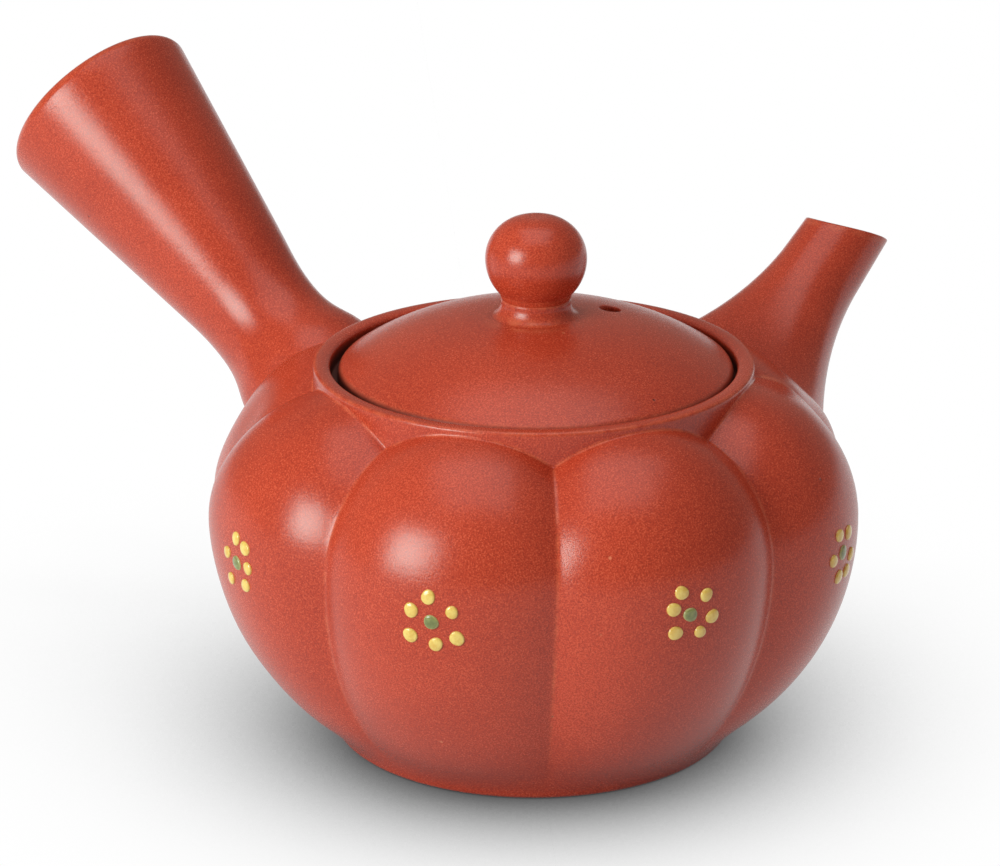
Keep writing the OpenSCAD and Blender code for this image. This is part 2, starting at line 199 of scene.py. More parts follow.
# The columns stand closer together towards the grooves. Each column runs up its own wall to where
# the lobe's arch meets the collar, and then over the rim and down into the pot.
across_step = np.linspace(-1, 1, lobe_columns, endpoint=False)
across = lobe_half * (0.25 * across_step + 0.75 * np.sin(across_step * math.pi / 2))
body_b = np.tile(across, lobe_count)
body_azimuth = np.repeat((2 * np.arange(lobe_count) + 1) * lobe_half, lobe_columns) + body_b
arch_a = np.full_like(body_b, 1.2)
for nearer in range(5):
    arch_arc = shoulder_round - let_in(arch_a, body_b, body_azimuth)
    arch_a = np.arccos((collar_r - shoulder_x) / arch_arc)
arch_z = waist_z + arch_arc * np.sin(arch_a)
collar_z = rim_z - rim_round
inside_z = rim_z - rim_inside
ledge_top = inside_z - 0.9
rim_outline = np.concatenate((
    [(collar_r, waist_z)],
    arc((collar_r - rim_round, collar_z), rim_round, 0, math.pi / 2, 10),
    rounded((collar_r - rim_round, rim_z), ((collar_r + seat_r) / 2, rim_z + rim_crown),
            (seat_r + rim_inside, rim_z - rim_sag), 6),
    arc((seat_r + rim_inside, inside_z - rim_sag), rim_inside, math.pi / 2, math.pi, 10),
    [(seat_r, inside_z - rim_sag), (seat_r, seat_z - 1)],
))
rim_inner_rows = slice(20, None)
rim_steps = np.hypot(*np.diff(rim_outline, axis=0).T)
rim_length = np.concatenate(([0], rim_steps.cumsum())) - (collar_z - waist_z)


def collar_point(s):
    """Collar's outline at a length s past the start of the rim: looked up along the line that goes
    straight up, over the eased rim and straight down inside."""
    return np.stack([np.interp(s, rim_length, rim_outline[:, axis]) for axis in (0, 1)], -1)


arch_s = arch_z - collar_z
inside_s = np.interp(-ledge_top, -rim_outline[rim_inner_rows, 1], rim_length[rim_inner_rows])
belly_start = -belly_sweep + math.radians(7)
belly_a = np.linspace(belly_start, 0, 44, endpoint=False)[:, None]
shoulder_end = arch_a - arch_soft / arch_arc
shoulder_a = np.linspace(0, 1, 34, endpoint=False)[:, None] * shoulder_end
collar_s = np.linspace(0, 1, 30, endpoint=False)[:, None]
collar_s = (arch_s + arch_soft) * (1 - collar_s) + inside_s * collar_s
hollow_r = foot_r - foot_ring
inner_r, inner_z = groove_r - wall_t, waist_z - groove_depth
inner_shoulder, inner_belly = shoulder_round - groove_depth - wall_t, belly_round - groove_depth - wall_t
floor_a = -math.asin((inner_z - floor_t - 2) / inner_belly)
floor_r = belly_x + inner_belly * math.cos(floor_a)
ceiling_z = waist_z + inner_shoulder
outside = [
    straight((3, foot_hollow), (hollow_r - 1, foot_hollow), 5),
    rounded((hollow_r - 1, foot_hollow), (hollow_r, foot_hollow), (hollow_r + 0.3, foot_hollow / 2), 4),
    rounded((hollow_r + 0.3, foot_hollow / 2), (hollow_r + 0.6, 0), (hollow_r + 1.6, 0), 4),
    straight((hollow_r + 1.6, 0), (foot_r - 1.9, 0), 3),
    rounded((foot_r - 1.9, 0), (foot_r - 0.1, 0), (foot_r + 0.4, 1.2), 7),
    rounded((foot_r + 0.4, 1.2), (foot_top_r - 0.2, foot_h - 0.4),
            lobed_wall(np.array(belly_start), body_b, body_azimuth), 9),
    lobed_wall(belly_a, body_b, body_azimuth),
    lobed_wall(shoulder_a, body_b, body_azimuth),
    rounded(lobed_wall(shoulder_end, body_b, body_azimuth),
            np.stack((np.full_like(arch_z, collar_r), arch_z), -1), collar_point(arch_s + arch_soft), 5),
    collar_point(collar_s),
]
inside = [
    straight((seat_r, ledge_top), (seat_r, seat_z + 0.4), 2),
    rounded((seat_r, seat_z + 0.4), (seat_r, seat_z), (seat_r - 0.4, seat_z), 4),
    straight((seat_r - 0.4, seat_z), (mouth_r + 0.5, seat_z), 4),
    rounded((mouth_r + 0.5, seat_z), (mouth_r, seat_z), (mouth_r, seat_z - 0.5), 4),
    straight((mouth_r, seat_z - 0.5), (mouth_r, ceiling_z + 0.6), 4),
    rounded((mouth_r, ceiling_z + 0.6), (mouth_r, ceiling_z), (shoulder_x, ceiling_z), 4),
    arc((shoulder_x, waist_z), inner_shoulder, math.pi / 2, 0, 16),
    straight((inner_r, waist_z), (inner_r, inner_z), 4),
    arc((belly_x, inner_z), inner_belly, 0, floor_a, 30),
    rounded((floor_r, floor_t + 2), (floor_r - 1.6, floor_t), (floor_r - 5, floor_t), 6),
    straight((floor_r - 5, floor_t), (2, floor_t), 6),
]
body_profile = profile_rows(outside + inside, body_b.size)
outer_rows = sum(len(p) for p in outside)

# Pale lines show on the arches, away from the spout's root, in the grooves and along the rim: partly wear, partly
# painted highlights where these edges catch the light. Two chips of an arch are worn pale. The seat and the inside
# of the rim, in the gap under the lid, are painted dark: a painted shade.
body_out, body_z = body_profile[..., 0], body_profile[..., 1]
on_wall = (np.arange(len(body_profile)) < outer_rows)[:, None]
to_arch = np.hypot(body_out - collar_r, body_z - arch_z)
to_groove = body_out * (lobe_half - np.abs(body_b))
groove_shows = np.clip((body_z - 6) / 20, 0, 1) * (body_z < arch_z + 0.3) * on_wall
to_rim = np.hypot(body_out - collar_r + 0.2, body_z - rim_z + 0.2)
body_turn = body_azimuth + lobe_turn(body_z)
off_spout = np.abs(np.mod(body_turn + math.pi, 2 * math.pi) - math.pi)
chip_turn, small_chip_turn = math.radians(316), math.radians(179.5)
chip = 2.0 * bell(body_turn, chip_turn, 0.022) * bell(body_z, arch_z - 0.4, 1.3)
small_chip = 1.4 * bell(body_turn, small_chip_turn, 0.013) * bell(body_z, arch_z + 0.3, 0.5)
body_wear_and_highlight = np.maximum.reduce((
    0.9 * bell(to_arch, 0, 0.3) * np.clip((off_spout - 0.76) / 0.05, 0, 1),
    0.7 * bell(to_groove, 0, 0.25) * groove_shows,
    0.7 * bell(to_rim, 0, 0.35),
    (chip + small_chip) * on_wall,
))
below_rim = np.clip((rim_z - 0.7 - body_z) / 1.2, 0, 1)
in_seat = below_rim * (body_out < seat_r + 0.4) * (body_z > seat_z - 0.7)
body_marks = {"wear_and_highlight": [body_wear_and_highlight], "recess_shade": [in_seat]}
thrown_body = clay_mesh("thrown_body", [turned(body_profile, body_turn)], body_marks)

# The hole through the wall goes on from the spout's sloping bore and is a little wider.
spout_tilt, spout_len, spout_z = math.radians(37.5), 40.5, 38.8
bore_base_r, bore_tip_r = 7.0, 4.9
bore_taper = (bore_base_r - bore_tip_r) / spout_len
spout_start = np.array((groove_r, 0, spout_z))
spout_axis = np.array((math.cos(spout_tilt), 0, math.sin(spout_tilt)))
spout_below = np.array((math.sin(spout_tilt), 0, -math.cos(spout_tilt)))
spout_side = np.array((0.0, 1.0, 0.0))


def on_spout(below, side, along):
    """Points measured from the spout's axis, below it and to its side, and along it from the groove."""
    across = below[..., None] * spout_below + side[..., None] * spout_side
    return spout_start + across + along[..., None] * spout_axis


hole_turn = np.linspace(0, 2 * math.pi, 64, endpoint=False)
hole_along = np.linspace(-14, 5, 8)[:, None] + 0 * hole_turn
hole_r = bore_base_r + 0.2 - bore_taper * hole_along
hole = on_spout(hole_r * np.cos(hole_turn), hole_r * np.sin(hole_turn), hole_along)
cut_out(thrown_body, clay_mesh("hole", [hole]))


class Finish:
    """One output of a node of a finish. Sums, differences and products of outputs and numbers add Math
    nodes, and node adds any other one."""

    def __init__(self, tree, socket=None):
        self.tree, self.socket = tree, socket

    def node(self, kind, settings=(), inputs=(), out=0):
        """Adds a node of a type, sets its settings and then its sockets, and gives one of its outputs."""
        made = self.tree.nodes.new(kind)
        for key, value in dict(settings).items():
            setattr(made, key, value)
        for key, value in dict(inputs).items():
            if isinstance(value, Finish):
                self.tree.links.new(value.socket, made.inputs[key])
            else:
                made.inputs[key].default_value = value
        return Finish(self.tree, made.outputs[out] if made.outputs else None)

    def out(self, name):
        """Another output of the same node."""
        return Finish(self.tree, self.socket.node.outputs[name])

    def math(self, operation, *values):
        """Math node of an operation on these values."""
        return self.node("ShaderNodeMath", {"operation": operation}, dict(enumerate(values)))

    def mix(self, share, first, second):
        """Colour between two colours."""
        return self.node("ShaderNodeMix", {"data_type": "RGBA"}, {0: share, 6: first, 7: second}, 2)

    def noise(self, scale, detail, roughness):
        """Noise at these coordinates."""
        return self.node("ShaderNodeTexNoise", {}, {
            "Vector": self, "Scale": scale, "Detail": detail, "Roughness": roughness})

    def mark(self, name):
        """Value that each point of the piece carries by this name."""
        return self.node("ShaderNodeAttribute", {"attribute_name": name}).out("Fac")

    def step(self, low, high):
        """Smooth step of this value from 0 at low to 1 at high."""
        return self.node("ShaderNodeMapRange", {"interpolation_type": "SMOOTHSTEP"},
                         {"Value": self, "From Min": low, "From Max": high, "To Min": 0.0, "To Max": 1.0})

    def __add__(self, other):
        return self.math("ADD", self, other)

    def __sub__(self, other):
        return self.math("SUBTRACT", self, other)

    def __rsub__(self, other):
        return self.math("SUBTRACT", other, self)

    def __mul__(self, other):
        return self.math("MULTIPLY", self, other)

    __radd__, __rmul__ = __add__, __mul__


def paint(red, green, blue):
    """Linear colour of a shade that is given in 0 to 255 as a screen shows it."""
    shade = np.array((red, green, blue)) / 255
    linear = np.where(shade <= 0.04045, shade / 12.92, ((shade + 0.055) / 1.055) ** 2.4)
    return (*linear.tolist(), 1.0)


def new_finish(name):
    """Empty finish and the object's own coordinates in it."""
    material = bpy.data.materials.new(name)
    material.use_nodes = True
    material.node_tree.nodes.clear()
    return material, Finish(material.node_tree).node("ShaderNodeTexCoord").out("Object")


def fine_clay(name):
    """Fired red clay, burnished but unglazed: a fine grain, soft clouds of a paler and a deeper tone, pale
    specks and small dark pits, faint marks of turning, paler edges where the piece carries its mark of wear
    and painted highlight, and a painted dark shade of recesses where it carries its mark of recess shade."""
    material, place = new_finish(name)
    grain, clouds, peel = place.noise(4200.0, 2.0, 0.6), place.noise(45.0, 4.0, 0.55), place.noise(420.0, 2.0, 0.5)
    level = place.node("ShaderNodeVectorMath", {"operation": "MULTIPLY"}, {0: place, 1: (60.0, 60.0, 900.0)})
    turning = level.noise(1.0, 3.0, 0.6)
    cells = place.node("ShaderNodeTexVoronoi", {"feature": "F1"}, {
        "Vector": place, "Scale": 230.0, "Randomness": 1.0})
    chance = place.node("ShaderNodeSeparateColor", {}, {"Color": cells.out("Color")})
    pits = (1 - cells.step(0.03, 0.07)) * chance.step(0.94, 0.95)
    specks = (1 - cells.step(0.03, 0.08)) * chance.out("Green").step(0.9, 0.92)
    wear_and_highlight = place.mark("wear_and_highlight") * place.noise(500.0, 3.0, 0.6).step(0.34, 0.62)
    recess_shade = place.mark("recess_shade")

    colour = place.mix(clouds.step(0.3, 0.72), paint(172, 54, 33), paint(186, 63, 40))
    colour = place.mix(grain.step(0.5, 0.66) * 0.6, colour, paint(208, 88, 58))
    colour = place.mix((1 - grain.step(0.36, 0.5)) * 0.6, colour, paint(136, 38, 24))
    colour = place.mix(specks * 0.6, colour, paint(222, 132, 96))
    # Paler where the piece is worn, and where a highlight is painted along edges that catch the light.
    colour = place.mix(wear_and_highlight * 0.45, colour, paint(218, 112, 78))
    # Nearly black-brown in the seat, the lid's gap and the steam hole: a painted shade of these recesses.
    colour = place.mix(recess_shade * 0.9, colour, paint(58, 22, 16))
    colour = place.mix(pits * 0.7, colour, paint(80, 26, 18))
    height = grain * 0.35 + peel * 0.4 + turning * 0.25 - pits * 1.5
    bump = place.node("ShaderNodeBump", {}, {"Strength": 0.5, "Distance": 0.00012, "Height": height})
    roughness = 0.18 + grain * 0.1 + clouds * 0.06 + pits * 0.2 + recess_shade * 0.3
    skin = place.node("ShaderNodeBsdfPrincipled", {}, {
        "Base Color": colour, "Roughness": roughness, "Normal": bump, "IOR": 1.42})
    place.node("ShaderNodeOutputMaterial", {}, {"Surface": skin})
    return material


red_clay = fine_clay("red_clay")


def put_on(piece, material, body, slot, *nodes):
    """Gives a piece its finish, the body that it moves with and the nodes that it stands for; the slot is not
    used.
    """
    piece.data.materials.clear()
    piece.data.materials.append(material)
    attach(piece, body)
    if nodes:
        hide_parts(*nodes)


put_on(thrown_body, red_clay, "pot", "clay", "body")

# Strainer: a small pierced plate of the same clay, luted inside the wall over the spout's hole. The
# model's own solid shows, with the clay's finish.
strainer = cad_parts["strainer"]
strainer.data.materials.clear()
strainer.data.materials.append(red_clay)

# Spout: a slim cone of the same clay with a wide spread root, luted onto the wall, its seam worked
# smooth while wet. The mouth is cut on a slant and its lip rounded.
spout_base_r, spout_tip_r = 8.4, 6.7
spout_taper = (spout_base_r - spout_tip_r) / spout_len
root_len, root_in, root_flare, root_high, root_low, root_curve = 31.5, 8.0, 0.36 * body_r, 0.3, 0.2, 1.8
root_lean = spout_tilt - math.radians(3)
root_soft, root_sunk, collar_soft = 1.5, 0.5, 1.5
mouth_slope = math.tan(math.radians(90 - 24) - spout_tilt)
lip_round, lip_arch, lip_rows, lip_square, lip_full = 0.45, 0.4, 16, 0.55, 0.7


def to_wall(points):
    """How far points stand outside the body's wall, and the wall's outward direction there: the distance
    from the crest's arc plus what is let in, joined smoothly to the distance from the collar."""
    r, z = np.hypot(points[..., 0], points[..., 1]), points[..., 2] - waist_z
    upper = z >= 0
    middle = np.where(upper, shoulder_x, belly_x)
    a = np.arctan2(z, r - middle)
    azimuth = np.arctan2(points[..., 1], points[..., 0])
    b = np.mod(azimuth - lobe_turn(points[..., 2]), 2 * lobe_half) - lobe_half
    crest_gap = np.hypot(r - middle, z) - np.where(upper, shoulder_round, belly_round)
    lobe_gap = crest_gap + let_in(a, b, azimuth)
    collar_gap = r - collar_r
    share = np.clip(0.5 + 0.5 * (lobe_gap - collar_gap) / collar_soft, 0, 1)
    gap = lobe_gap * (1 - share) + collar_gap * share - collar_soft * share * (1 - share)
    lift = a * (1 - share)
    level = np.cos(lift)
    return gap, np.stack((level * points[..., 0] / r, level * points[..., 1] / r, np.sin(lift)), -1)


def luted(points, soft, sunk):
    """Points of a root worked smooth onto the wall: a gap g becomes half of g plus the root of g squared
    plus soft squared, so that the skin runs out level, and it ends a little below the wall."""
    gap, out = to_wall(points)
    root = np.sqrt(gap**2 + soft**2)
    landed = (gap + root) / 2 - sunk * (1 - gap / root) / 2
    return points + out * (landed - gap)[..., None]


def spout_skin(t, c):
    """Spout's skin at length t and angle c from below: a slim cone whose root spreads as a power of the
    length that is left, mostly to the sides, in rings that lean over with it."""
    left = np.maximum(0, (root_len - t) / (root_len + root_in))
    spread = np.sin(c) ** 2 + np.cos(c) ** 2 * np.where(np.cos(c) > 0, root_low, root_high)
    r = spout_base_r - spout_taper * t + root_flare * spread * left**root_curve
    lean = root_lean * left
    return on_spout(r * np.cos(c) * np.cos(lean), r * np.sin(c), t - r * np.cos(c) * np.sin(lean))


def mouth_at(base_r, taper, c):
    """Length at which a cone of this base and taper meets the slanted mouth, plus an arch that grows with
    the square of the sine towards the sides."""
    slant = mouth_slope * np.cos(c)
    return (spout_len + slant * base_r) / (1 + slant * taper) + lip_arch * np.sin(c) ** 2


spout_c = np.linspace(0, 2 * math.pi, 128, endpoint=False)
lip_out = mouth_at(spout_base_r, spout_taper, spout_c)
lip_in = mouth_at(bore_base_r, bore_taper, spout_c)
spout_u = np.linspace(0, 1, 72, endpoint=False)[:, None]
spout_t = -root_in + (lip_out - lip_round + root_in) * spout_u
spout_outside = luted(spout_skin(spout_t, spout_c), root_soft, root_sunk)


def bore_skin(t, c):
    """Bore's skin at length t and angle c."""
    r = bore_base_r - bore_taper * t
    return on_spout(r * np.cos(c), r * np.sin(c), t + 0 * c)


lip_a, lip_b = spout_skin(lip_out - lip_round, spout_c), bore_skin(lip_in - lip_round, spout_c)
lip_turn = np.linspace(0, math.pi, lip_rows, endpoint=False)[:, None, None]
lip_across = np.sign(np.cos(lip_turn)) * np.abs(np.cos(lip_turn)) ** lip_square
spout_lip = ((lip_a + lip_b) / 2 + (lip_a - lip_b) / 2 * lip_across
             + lip_round * spout_axis * np.sin(lip_turn) ** lip_full)
bore_end = -1.5 - bore_base_r * np.cos(spout_c) * math.tan(spout_tilt)
bore_u = np.linspace(0, 1, 24, endpoint=False)[:, None]
spout_bore = bore_skin((lip_in - lip_round) * (1 - bore_u) + bore_end * bore_u, spout_c)
spout_back = straight(bore_skin(bore_end, spout_c), spout_outside[0], 5)
spout_grid = np.concatenate((spout_outside, spout_lip, spout_bore, spout_back))
spout_worn = np.zeros(spout_grid.shape[:2])
spout_worn[len(spout_outside) - 1:len(spout_outside) + lip_rows] = 0.5
spout = clay_mesh("pouring_spout", [spout_grid], {"wear_and_highlight": [spout_worn]}, joined=True)
put_on(spout, red_clay, "pot", "clay", "spout")

# Handle: a hollow cone of the same clay, thrown by itself, its open end turned in and rounded, and its
# narrow end spread and luted onto the wall.
handle_tilt, handle_len, handle_z = math.radians(37.3), 63.18, 45.9
handle_end_r, handle_slim_r, handle_cone, handle_root_r, handle_round = 16.98, 10.2, 42.0, 13.2, 50.0
handle_t, handle_edge, handle_open_r = 3.0, 2.0, 9.5
handle_soft, handle_sunk, handle_in = 0.6, 0.3, -8
drawn_in, drawn_at = 0.1, (15, 6)
root_spread, spread_less, spread_from, spread_over = 1.5, 1.4, 3, 4.8
slim_t = handle_len - handle_cone
handle_taper = (handle_end_r - handle_slim_r) / handle_cone
curve_r = handle_slim_r + handle_round * math.cos(math.atan(handle_taper))
curve_t = slim_t - handle_round * math.sin(math.atan(handle_taper))
root_turn = math.acos((handle_root_r - curve_r) / handle_round)
slim_turn = math.acos((handle_slim_r - curve_r) / handle_round)
root_t = curve_t - handle_round * math.sin(root_turn)
edge_t = handle_len - handle_edge
edge_r = handle_end_r - handle_taper * handle_edge
handle_a = np.linspace(0, 2 * math.pi, 128, endpoint=False)


def on_handle(profile):
    """Points of a profile of radius and length, turned round the handle's sloping axis. It is drawn in a
    little on top over a bell of the length, and towards the root it spreads along half a bell, hardly so
    underneath."""
    t = profile[..., 1]
    spread = root_spread - spread_less * bell(handle_a, 1.5 * math.pi, 0.8)
    r = profile[..., 0] - (drawn_in + drawn_in * np.sin(handle_a)) * bell(t, *drawn_at)
    r = r + spread * bell(np.maximum(t, spread_from), spread_from, spread_over)
    out, rise, up = math.cos(handle_tilt), math.sin(handle_tilt), r * np.sin(handle_a)
    y, z = groove_r + t * out - up * rise, handle_z + t * rise + up * out
    return np.stack((r * np.cos(handle_a), y, z), -1)


handle_root = profile_rows([
    straight((1.5, handle_in), (handle_root_r, handle_in), 6),
    straight((handle_root_r, handle_in), (handle_root_r, root_t), 3),
    arc((curve_r, curve_t), handle_round, -root_turn, slim_turn - 2 * math.pi, 40),
], handle_a.size)
inner_end_r, inner_end_t = handle_end_r - handle_t, handle_len - handle_t
blind_r, blind_t = 6.6, 3
handle_rest = profile_rows([
    straight((handle_slim_r, slim_t), (edge_r, edge_t), 24),
    arc((edge_r - handle_edge, edge_t), handle_edge, 0, math.pi / 2, 10),
    straight((edge_r - handle_edge, handle_len), (handle_open_r + 1.2, handle_len), 4),
    rounded((handle_open_r + 1.2, handle_len), (handle_open_r, handle_len), (handle_open_r, handle_len - 1.3), 8),
    rounded((handle_open_r, handle_len - 1.3), (handle_open_r, inner_end_t),
            (handle_open_r + 1.4, inner_end_t), 8),
    straight((handle_open_r + 1.4, inner_end_t), (inner_end_r - 1.6, inner_end_t), 2),
    rounded((inner_end_r - 1.6, inner_end_t), (inner_end_r - 0.4, inner_end_t),
            (inner_end_r - 0.7, inner_end_t - 1.6), 5),
    straight((inner_end_r - 0.7, inner_end_t - 1.6), (handle_slim_r - handle_t, slim_t), 20),
    straight((handle_slim_r - handle_t, slim_t), (blind_r, blind_t + 1.5), 10),
    rounded((blind_r, blind_t + 1.5), (blind_r - 0.1, blind_t), (blind_r - 1.6, blind_t), 4),
    straight((blind_r - 1.6, blind_t), (1, blind_t), 3),
], handle_a.size)
handle_luted = luted(on_handle(handle_root), handle_soft, handle_sunk)
handle_grid = np.concatenate((handle_luted, on_handle(handle_rest)))
root_rows = len(handle_root)
handle_wear_and_highlight = np.zeros(handle_grid.shape[:2])
# Along the root's seam a pale line is painted, a painted highlight where the crease catches the light; the rounded
# open end is worn pale.
handle_wear_and_highlight[:root_rows] = 0.9 * bell(to_wall(on_handle(handle_root))[0], 0.3, 0.35)
handle_wear_and_highlight[root_rows + 26:root_rows + 46] = 0.4
handle = clay_mesh("hollow_handle", [handle_grid], {"wear_and_highlight": [handle_wear_and_highlight]})
put_on(handle, red_clay, "pot", "clay", "handle")

# Flowers: dots of thick enamel, dropped on by hand and fired, six yellow ones round a green one on
# each lobe. Each dot is a low dome that has run a little out of round.
flower_up, petal_at, petal_r, middle_r, dot_h = -1.2, 3.7, 1.1, 1.2, 0.4
flower_turn, flower_step = 52, 20
flower_shift = (9.2, -1.5, 1.5, 3.1, 1.8, 0.4, -4.1, -9.2)
dot_sunk = 0.25
hand_set = {
    3: ((-0.3, 3.8), (2.3, 3.0), (-3.0, 0.8), (3.0, 0.0), (-2.4, -3.3), (2.0, -3.1)),
    4: ((-0.5, 3.8), (-3.1, 1.5), (3.1, 1.8), (-3.3, -2.5), (0.6, -3.5), (3.8, -2.3)),
    5: ((-1.4, 3.6), (2.7, 2.6), (-2.7, 1.2), (3.8, -1.0), (-2.3, -2.6), (1.8, -3.1)),
    6: ((-1.1, 3.1), (2.3, 2.5), (-2.9, -0.5), (3.9, -1.6), (-0.6, -3.8), (2.4, -3.8)),
}
dot_rows, dot_columns = 9, 28
run_of_enamel = np.random.default_rng(7)


def enamel_dot(lobe, across_mm, up_mm, radius):
    """Dome on a lobe's wall, this far across and up from its crest's widest point: the height falls as a
    root of one less the squared share of the radius, and the edge waves twice and three times round."""
    s = np.linspace(1, 0, dot_rows, endpoint=False)[:, None]
    turn = np.linspace(0, 2 * math.pi, dot_columns, endpoint=False)
    wave = 1 + 0.05 * np.cos(2 * turn + run_of_enamel.uniform(0, 6))
    wave = wave + 0.025 * np.cos(3 * turn + run_of_enamel.uniform(0, 6))
    right, up = radius * s * wave * np.cos(turn), radius * s * wave * np.sin(turn)
    height = dot_h * np.sqrt(np.maximum(0, 1 - s**2) + 0 * turn) ** 0.9
    height[0] = -dot_sunk
    a = (up_mm + up) / np.where(up_mm + up >= 0, shoulder_round, belly_round)
    middle_a = up_mm / (shoulder_round if up_mm >= 0 else belly_round)
    middle_azimuth = (lobe + 0.5) * 2 * lobe_half
    crest = lobed_wall(np.array(middle_a), np.array(0.0), middle_azimuth)[0]
    b = (across_mm + right) / crest
    azimuth = middle_azimuth + b
    wall = lobed_wall(a, b - lobe_turn(waist_z + up_mm + up), azimuth)
    dome = wall + height[..., None] * np.stack((np.cos(a), np.sin(a)), -1)
    return turned(dome, azimuth), s + 0 * turn


def enamel(name, deep, full, pale, rim):
    """Glossy fired enamel: clouded between a deep and a full shade, paler towards the thin edge."""
    material, place = new_finish(name)
    clouds, fine = place.noise(900.0, 3.0, 0.6), place.noise(3500.0, 2.0, 0.5)
    colour = place.mix(clouds.step(0.3, 0.7), deep, full)
    colour = place.mix(place.mark("edge").step(rim, 1.0) * 0.8, colour, pale)
    height = clouds * 0.8 + fine * 0.2
    bump = place.node("ShaderNodeBump", {}, {"Strength": 0.25, "Distance": 0.0001, "Height": height})
    skin = place.node("ShaderNodeBsdfPrincipled", {}, {
        "Base Color": colour, "Roughness": 0.16 + fine * 0.12, "Normal": bump, "IOR": 1.55,
        "Coat Weight": 0.3, "Coat Roughness": 0.08})
    place.node("ShaderNodeOutputMaterial", {}, {"Surface": skin})
    return material


yellow_enamel = enamel("yellow_enamel", paint(214, 168, 74), paint(230, 196, 104), paint(206, 152, 80), 0.8)
green_enamel = enamel("green_enamel", paint(100, 104, 52), paint(134, 136, 76), paint(190, 176, 118), 0.7)
for lobe in range(lobe_count):
    turns = flower_turn + (lobe + 1) * flower_step + 60 * np.arange(1, 7)
    turns = np.radians(turns + run_of_enamel.uniform(-7, 7, 6))
    reach = petal_at * run_of_enamel.uniform(0.93, 1.08, 6)
    places = hand_set.get(lobe, np.stack((reach * np.cos(turns), reach * np.sin(turns)), -1))
    petals = [enamel_dot(lobe, flower_shift[lobe] + x, flower_up + y, petal_r * run_of_enamel.uniform(0.94, 1.12))
              for x, y in places]
    ring = clay_mesh(f"petals_{lobe + 1}", [p[0] for p in petals], {"edge": [p[1] for p in petals]})
    put_on(ring, yellow_enamel, "pot", "yellow_enamel", f"flower_{lobe + 1}_petals")
    dome, dome_edge = enamel_dot(lobe, flower_shift[lobe], flower_up, middle_r)
    middle = clay_mesh(f"middle_{lobe + 1}", [dome], {"edge": [dome_edge]})
    put_on(middle, green_enamel, "pot", "green_enamel", f"flower_{lobe + 1}_middle")

# Lid: a thin dome of the same clay, thrown upside down, that sits on the ledge inside the rim. A ring
# under it keeps it in the mouth, and a round hole lets the steam out.
lid_r, lid_edge, lid_top, lid_t = 30.6, 2.2, 68.6, 2.8
dome_up = lid_top - seat_z - lid_edge
dome_r = (lid_r**2 + dome_up**2) / (2 * dome_up)
dome_z = lid_top - dome_r
flange_r, flange_t, flange_h = 27.3, 2.4, 7.0
steam_r, steam_at, steam_angle = 1.65, 12.5, math.radians(-25)
lid_a = np.linspace(0, 2 * math.pi, 192, endpoint=False)
crown_z, crown_power = lid_top - 0.9, 2.7
flange_in = flange_r - flange_t
under_turn = math.acos(flange_in / (dome_r - lid_t))
flange_z = seat_z - flange_h
under_z = dome_z + (dome_r - lid_t) * math.sin(under_turn)
brow_r = lid_r - 1.1
crown_r = np.linspace(1.6, brow_r, 44, endpoint=False)


def crown(r):
    """Height of the lid's outside at a radius: a dome that is flat on top and falls as a power of the
    radius."""
    return crown_z - (crown_z - seat_z - lid_edge) * (r / lid_r) ** crown_power


edge_z = crown(brow_r)
lid_profile = profile_rows([
    np.stack((crown_r, crown(crown_r)), -1),
    rounded((brow_r, edge_z), (lid_r, edge_z - 0.7), (lid_r, seat_z + 0.9), 8),
    rounded((lid_r, seat_z + 0.9), (lid_r, seat_z), (lid_r - 0.8, seat_z), 6),
    straight((lid_r - 0.8, seat_z), (flange_r + 0.5, seat_z), 3),
    rounded((flange_r + 0.5, seat_z), (flange_r, seat_z), (flange_r, seat_z - 0.5), 4),
    straight((flange_r, seat_z - 0.5), (flange_r, flange_z + 1), 6),
    rounded((flange_r, flange_z + 1), (flange_r, flange_z), (flange_r - flange_t / 2, flange_z), 5),
    rounded((flange_r - flange_t / 2, flange_z), (flange_in, flange_z), (flange_in, flange_z + 1), 5),
    straight((flange_in, flange_z + 1), (flange_in, under_z - 1.5), 6),
    rounded((flange_in, under_z - 1.5), (flange_in, under_z), (flange_in - 1.5, under_z + 0.8), 5),
    arc((0, dome_z), dome_r - lid_t, under_turn + 0.034, math.pi / 2 - 0.03, 30),
], lid_a.size)
lid_out, lid_z = lid_profile[..., 0], lid_profile[..., 1]
# The lid's rounded edge is paler, partly wear and partly a painted highlight. Round the knob's foot the crown is a
# little paler all round, and much paler on the side toward the key light, a painted sheen.
to_edge = np.hypot(lid_out - lid_r + 0.3, lid_z - edge_z + 0.4)
on_crown = (lid_z > 66.5) * bell(lid_out, 7.9, 0.9)
sheen_turn, sheen_over = math.radians(197), 0.6
crown_rub_and_sheen = on_crown * (0.25 + 0.85 * bell(lid_a, sheen_turn, sheen_over))
lid_wear_and_highlight = np.maximum(0.5 * bell(to_edge, 0, 0.5), crown_rub_and_sheen)
# The lid's side down in the gap under the rim is painted dark, a painted shade.
lid_recess_shade = (lid_out > lid_r - 0.9) * np.clip((edge_z - 0.3 - lid_z) / 0.9, 0, 1)
lid_off = np.array((0.22, -0.25, 0))
lid_marks = {"wear_and_highlight": [lid_wear_and_highlight], "recess_shade": [lid_recess_shade]}
lid = clay_mesh("domed_lid", [turned(lid_profile, lid_a) + lid_off], lid_marks)

